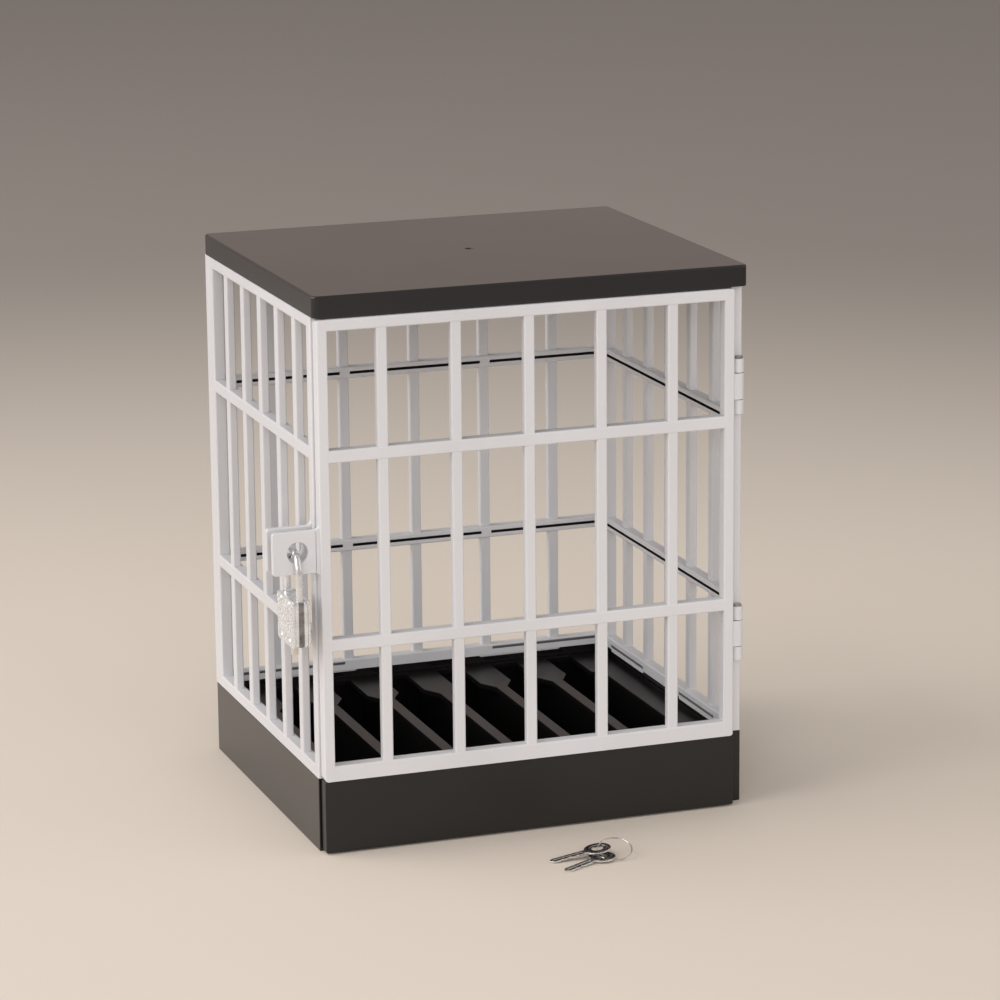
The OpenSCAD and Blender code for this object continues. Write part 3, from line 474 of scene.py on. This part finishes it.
# Key plug of the padlock
# A turned brass plug with a keyway, plated pale. It turns in the core, and its nose stands
# out below the case.
BRASS_PALE = (0.90, 0.85, 0.75)
BRASS_DARK = (0.72, 0.67, 0.58)
BRASS_DULL = 0.24
PLUG_NOSE = 1.3 * MM
plug_brass = worked_metal("plug_brass", BRASS_PALE, BRASS_DARK, BRASS_DULL, EVEN)
plug = merged_copy("lock_plug", "plug_barrel", "plug", plug_brass)
plug_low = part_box("lock_plug")[0].z
pick(plug, "FACE", lambda corners: all(p.z < plug_low + MERGE for p in corners))
bpy.ops.mesh.extrude_region_move(TRANSFORM_OT_translate={"value": (0.0, 0.0, -PLUG_NOSE)})
bpy.ops.object.mode_set(mode="OBJECT")
evened(plug)

# Latch and springs of the padlock
# A small sliding latch of plain steel and two wound springs, one behind the latch and one
# under the long leg. All three lie in the core's bores.
for inner in ("lock_latch", "latch_spring", "shackle_spring"):
    dress(inner, pin_steel)

# Core of the padlock
# A die casting with the two bores for the shackle. Its narrow sides carry a sunk groove that
# is left as cast, dark against the plated rims.
GROOVE_GRAY = (0.44, 0.44, 0.445)
GROOVE_DARK = (0.16, 0.16, 0.163)
GROOVE_DULL, GROOVE_RELIEF = 0.48, 0.5
GROOVE_FROM, GROOVE_TO = 0.25 * MM, 2.0 * MM
GROOVE_FACING = 0.8
CORE_DULL, CORE_METAL = 0.27, 0.72
LOCK_EDGE = 0.22 * MM
core_nickel = worked_metal("core_nickel", NICKEL, NICKEL_DARK, CORE_DULL, EVEN, metal=CORE_METAL)
groove_zinc = worked_metal("groove_zinc", GROOVE_GRAY, GROOVE_DARK, GROOVE_DULL, EVEN, GROOVE_RELIEF)
core = softened("lock_core", "core_casting", "lock_case", core_nickel, LOCK_EDGE)
core.data.materials.append(groove_zinc)
core_low, core_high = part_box("lock_core")
for face in core.data.polygons:
    sunk = min(face.center.y - core_low.y, core_high.y - face.center.y)
    if abs(face.normal.y) > GROOVE_FACING and GROOVE_FROM < sunk < GROOVE_TO:
        face.material_index = 1

# Face plates of the padlock
# Stamped steel, nickel plated, with a raised pebbled field inside a plain rim. The rivets go
# through both plates and the core.
FIELD_IN = 0.75 * MM
FIELD_CELLS = 132
FIELD_SINK = 0.30 * MM
FIELD_SMOOTH = math.radians(60.0)
PEBBLE = 0.85 * MM
PEBBLE_RISE = 0.42 * MM
PEBBLE_LEVEL = 0.62
# Painted shade: the pebbles' hollows are darker by their depth.
HOLLOW_SHADE = (0.33, 0.32, 0.31)
FIELD_METAL = 0.72
FIELD_DULL_LOW, FIELD_DULL_HIGH = 0.24, 0.40
FIELD_HAZE_SCALE = 700.0
FIELD_GRAIN_SCALE, FIELD_GRAIN_DEEP = 5200.0, 0.03 * MM


def pebbled_metal(name):
    """Nickel plate over a cast pebble grain, dull, with shade painted into the hollows by their depth."""
    material, tree, shader, coords = new_material(name)
    height = node_in(tree, "ShaderNodeAttribute", attribute_name="rise").outputs["Fac"]
    shades = ramp(tree, height, [(0.30, HOLLOW_SHADE), (0.62, NICKEL)])
    tree.links.new(shades, shader.inputs["Base Color"])
    shader.inputs["Metallic"].default_value = FIELD_METAL
    haze = noise(tree, coords, FIELD_HAZE_SCALE)
    tree.links.new(spread(tree, haze, FIELD_DULL_LOW, FIELD_DULL_HIGH), shader.inputs["Roughness"])
    fine = noise(tree, coords, FIELD_GRAIN_SCALE, detail=2.0)
    skin = bumped(tree, fine, strength=0.2, depth=FIELD_GRAIN_DEEP)
    tree.links.new(skin, shader.inputs["Normal"])
    return material


pebbled = pebbled_metal("pebbled_nickel")
pebbles = bpy.data.textures.new("pebbles", "VORONOI")
pebbles.noise_scale = PEBBLE
pebbles.noise_intensity = 1.0


def pebble_field(node, name, side):
    """Pebbled field on the outer face of a plate, closed at the back inside the plate."""
    low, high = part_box(node)
    face_x = high.x if side > 0 else low.x
    bpy.ops.object.select_all(action="DESELECT")
    bpy.ops.mesh.primitive_grid_add(x_subdivisions=FIELD_CELLS, y_subdivisions=FIELD_CELLS, size=1.0)
    field = bpy.context.object
    field.name = name
    field.rotation_euler = (0.0, math.radians(90.0 * side), 0.0)
    field.scale = (high.z - low.z - 2 * FIELD_IN, high.y - low.y - 2 * FIELD_IN, 1.0)
    field.location = (face_x, (low.y + high.y) / 2, (low.z + high.z) / 2)
    bpy.ops.object.transform_apply(location=True, rotation=True, scale=True)
    rise = field.modifiers.new("rise", "DISPLACE")
    rise.texture = pebbles
    rise.texture_coords = "LOCAL"
    rise.mid_level = PEBBLE_LEVEL
    rise.strength = -PEBBLE_RISE
    bpy.ops.object.modifier_apply(modifier="rise")
    heights = [side * point.co.x for point in field.data.vertices]
    lowest, highest = min(heights), max(heights)
    rises = field.data.attributes.new("rise", "FLOAT", "POINT")
    rises.data.foreach_set("value", [(height - lowest) / (highest - lowest) for height in heights])
    bpy.ops.object.mode_set(mode="EDIT")
    bpy.ops.mesh.select_all(action="DESELECT")
    bpy.ops.mesh.select_mode(type="EDGE")
    bpy.ops.mesh.select_non_manifold(extend=False)
    inward = (-side * FIELD_SINK, 0.0, 0.0)
    bpy.ops.mesh.extrude_region_move(TRANSFORM_OT_translate={"value": inward})
    bpy.ops.mesh.edge_face_add()
    bpy.ops.mesh.select_all(action="SELECT")
    bpy.ops.mesh.normals_make_consistent(inside=False)
    bpy.ops.object.mode_set(mode="OBJECT")
    bpy.ops.object.shade_smooth_by_angle(angle=FIELD_SMOOTH)
    field.data.materials.append(pebbled)
    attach(field, "lock_case")


softened("lock_outer_plate", "outer_plate", "lock_case", nickel, LOCK_EDGE)
softened("lock_inner_plate", "inner_plate", "lock_case", nickel, LOCK_EDGE)
pebble_field("lock_outer_plate", "outer_pebbles", -1)
pebble_field("lock_inner_plate", "inner_pebbles", 1)

# Rivets of the padlock
# Four soft steel rivets through the plates and the core, headed over on both sides and
# plated with the case.
RIVET_DULL = 0.34
rivet_nickel = worked_metal("rivet_nickel", NICKEL, NICKEL_DARK, RIVET_DULL, EVEN)
dress("lock_rivets", rivet_nickel)

# Keys and their ring
# Two flat keys stamped from nickel-plated steel, with a milled groove along the blade, on a
# thin ring of spring wire. They lie loose in front of the cage.
# Painted shade: the keys' flat faces take a dark shade of their nickel, and the rims keep the bright
# nickel.
KEY_FACE_SHADE = (0.27, 0.255, 0.25)
KEY_FACE_SHADE_DARK = (0.15, 0.14, 0.14)
KEY_FACE_DULL, KEY_RIM_DULL, RING_DULL = 0.24, 0.20, 0.16
KEY_EDGE = 0.14 * MM
KEY_SMOOTH = math.radians(40.0)
KEY_FACING = 0.95
WEB_R, WEB_HOLE_R = 3.55 * MM, 2.30 * MM
WEB_THIN = 0.10 * MM
MILL_R = 0.62 * MM
MILL_DEEP = 0.20 * MM
MILL_FROM, MILL_TO = 6.4 * MM, 19.0 * MM
shaded_key_face = worked_metal("shaded_key_face", KEY_FACE_SHADE, KEY_FACE_SHADE_DARK, KEY_FACE_DULL, EVEN)
key_rim = worked_metal("key_rim", NICKEL, NICKEL_DARK, KEY_RIM_DULL, EVEN)
ring_steel = worked_metal("ring_steel", NICKEL, NICKEL_DARK, RING_DULL, EVEN)
dress("key_ring", ring_steel)


def milled_key(node, name, body, joint):
    """Key with broken edges, a pressed web round its hole and a groove milled along its blade."""
    piece = softened(node, name, body, shaded_key_face, KEY_EDGE)
    hinge = joint_named(joint)
    bow, normal = Vector(hinge["pos_m"]), Vector(hinge["axis"]).normalized()
    corners = [point.co - bow for point in piece.data.vertices]
    tip = max(corners, key=lambda corner: corner.length)
    along = (tip - normal * tip.dot(normal)).normalized()
    top = max(corner.dot(normal) for corner in corners)
    low = min(corner.dot(normal) for corner in corners)
    thick = top - low
    heart = bow + normal * (top + low) / 2
    joined(piece, "UNION", rod(WEB_R, thick - 2 * WEB_THIN, heart, normal))
    joined(piece, "DIFFERENCE", rod(WEB_HOLE_R, 4 * thick, heart, normal))
    middle = bow + along * ((MILL_FROM + MILL_TO) / 2) + normal * (top + MILL_R - MILL_DEEP)
    joined(piece, "DIFFERENCE", rod(MILL_R, MILL_TO - MILL_FROM, middle, along))
    bpy.ops.object.shade_smooth_by_angle(angle=KEY_SMOOTH)
    piece.data.materials.clear()
    piece.data.materials.append(shaded_key_face)
    piece.data.materials.append(key_rim)
    # Painted shade on the flat faces, bright nickel on the rims.
    for face in piece.data.polygons:
        face.material_index = 0 if abs(face.normal.dot(normal)) > KEY_FACING else 1


milled_key("key_1", "upper_key_blank", "upper_key", "key_1_swing")
milled_key("key_2", "lower_key_blank", "lower_key", "key_2_swing")

# Floor
# A plain pale floor, warm and matt, with a painted pool of light: it falls off to a darker tone away from
# the cage.
# It is stage and not part of the object.
FLOOR_SIZE = 8.0
FLOOR_NEAR = (0.75, 0.655, 0.565)
FLOOR_FAR = (0.34, 0.30, 0.27)
NEAR_R, FAR_R = 0.22, 1.30
FLOOR_DULL, FLOOR_SHINE = 0.7, 0.2
bpy.ops.object.select_all(action="DESELECT")
bpy.ops.mesh.primitive_plane_add(size=FLOOR_SIZE, location=(0.0, 0.0, 0.0))
floor = bpy.context.object
floor.name = "floor"
floor_material, floor_tree, floor_shader, floor_coords = new_material("floor_pale")
floor_reach = node_in(floor_tree, "ShaderNodeVectorMath", operation="LENGTH")
floor_tree.links.new(floor_coords, floor_reach.inputs[0])
floor_fade = spread(floor_tree, floor_reach.outputs["Value"], 0.0, 1.0, start=NEAR_R, end=FAR_R)
floor_fade.node.interpolation_type = "SMOOTHSTEP"
floor_tone = ramp(floor_tree, floor_fade, [(0.0, FLOOR_NEAR), (1.0, FLOOR_FAR)])
floor_tree.links.new(floor_tone, floor_shader.inputs["Base Color"])
floor_shader.inputs["Roughness"].default_value = FLOOR_DULL
floor_shader.inputs["Specular IOR Level"].default_value = FLOOR_SHINE
floor.data.materials.append(floor_material)

# Lamps and sky
# Soft studio light: a large key lamp at the upper left, a broad one in front, a card behind
# on the left, a weak fill on the right and an even sky. The camera sees a plain backdrop.
LIGHT_AIM = Vector((0.0, 0.0, 0.1))
AMBIENT, AMBIENT_LEVEL = (1.0, 0.99, 0.97, 1.0), 0.42
BACKDROP, BACKDROP_LEVEL = (0.40, 0.33, 0.30, 1.0), 1.0


def soft_light(name, place, wide, high, power, mirrored=True):
    """Area light that faces the cage, seen in glossy surfaces or not."""
    lamp = bpy.data.lights.new(name, "AREA")
    lamp.shape = "RECTANGLE"
    lamp.size, lamp.size_y = wide, high
    lamp.energy = power
    holder = bpy.data.objects.new(name, lamp)
    bpy.context.scene.collection.objects.link(holder)
    holder.visible_camera = False
    holder.visible_glossy = mirrored
    holder.location = place
    holder.rotation_euler = (LIGHT_AIM - Vector(place)).to_track_quat("-Z", "Y").to_euler()


def sky_shade(tree, colour, level):
    """One plain shade of the sky."""
    made = node_in(tree, "ShaderNodeBackground")
    made.inputs["Color"].default_value = colour
    made.inputs["Strength"].default_value = level
    return made.outputs["Background"]


soft_light("key", place=(-1.9, 0.1, 1.35), wide=2.6, high=2.6, power=44.0)
soft_light("front", place=(-0.55, -2.4, 0.8), wide=2.4, high=1.3, power=34.0, mirrored=False)
soft_light("card", place=(-1.5, 1.6, 0.75), wide=1.4, high=1.2, power=6.0)
soft_light("fill", place=(1.7, -1.2, 1.2), wide=1.8, high=1.8, power=5.0)
world = bpy.data.worlds.new("studio")
bpy.context.scene.world = world
world.use_nodes = True
sky = world.node_tree
sky.nodes.clear()
path = node_in(sky, "ShaderNodeLightPath")
seen = path.outputs["Is Camera Ray"]
for ray in ("Is Glossy Ray", "Is Transmission Ray"):
    either = node_in(sky, "ShaderNodeMath", operation="MAXIMUM")
    sky.links.new(seen, either.inputs[0])
    sky.links.new(path.outputs[ray], either.inputs[1])
    seen = either.outputs["Value"]
choice = node_in(sky, "ShaderNodeMixShader")
sky.links.new(seen, choice.inputs["Fac"])
sky.links.new(sky_shade(sky, AMBIENT, AMBIENT_LEVEL), choice.inputs[1])
sky.links.new(sky_shade(sky, BACKDROP, BACKDROP_LEVEL), choice.inputs[2])
world_out = node_in(sky, "ShaderNodeOutputWorld")
sky.links.new(choice.outputs["Shader"], world_out.inputs["Surface"])

# Camera
# The photograph's view: a long lens from the left, a little above the lid, and rolled by
# half a degree.
AZIMUTH = math.radians(-19.623)
ELEVATION = math.radians(13.688)
ROLL = math.radians(-0.536)
EYE = Vector((-0.51397, -1.47812, 0.49710))
LENS, SENSOR = 142.81, 36.0
NEAREST, FARTHEST = 0.05, 20.0
away = Vector((math.sin(AZIMUTH) * math.cos(ELEVATION),
               -math.cos(AZIMUTH) * math.cos(ELEVATION),
               math.sin(ELEVATION)))
level = (-away).cross(Vector((0.0, 0.0, 1.0))).normalized()
upright = level.cross(-away)
right = level * math.cos(ROLL) + upright * math.sin(ROLL)
up = upright * math.cos(ROLL) - level * math.sin(ROLL)
lens = bpy.data.cameras.new("photo_view")
lens.lens = LENS
lens.sensor_width = SENSOR
lens.clip_start = NEAREST
lens.clip_end = FARTHEST
camera = bpy.data.objects.new("photo_view", lens)
bpy.context.scene.collection.objects.link(camera)
camera.matrix_world = Matrix.Translation(EYE) @ Matrix((right, up, away)).transposed().to_4x4()
bpy.context.scene.camera = camera

bpy.context.scene.view_settings.view_transform = "Standard"
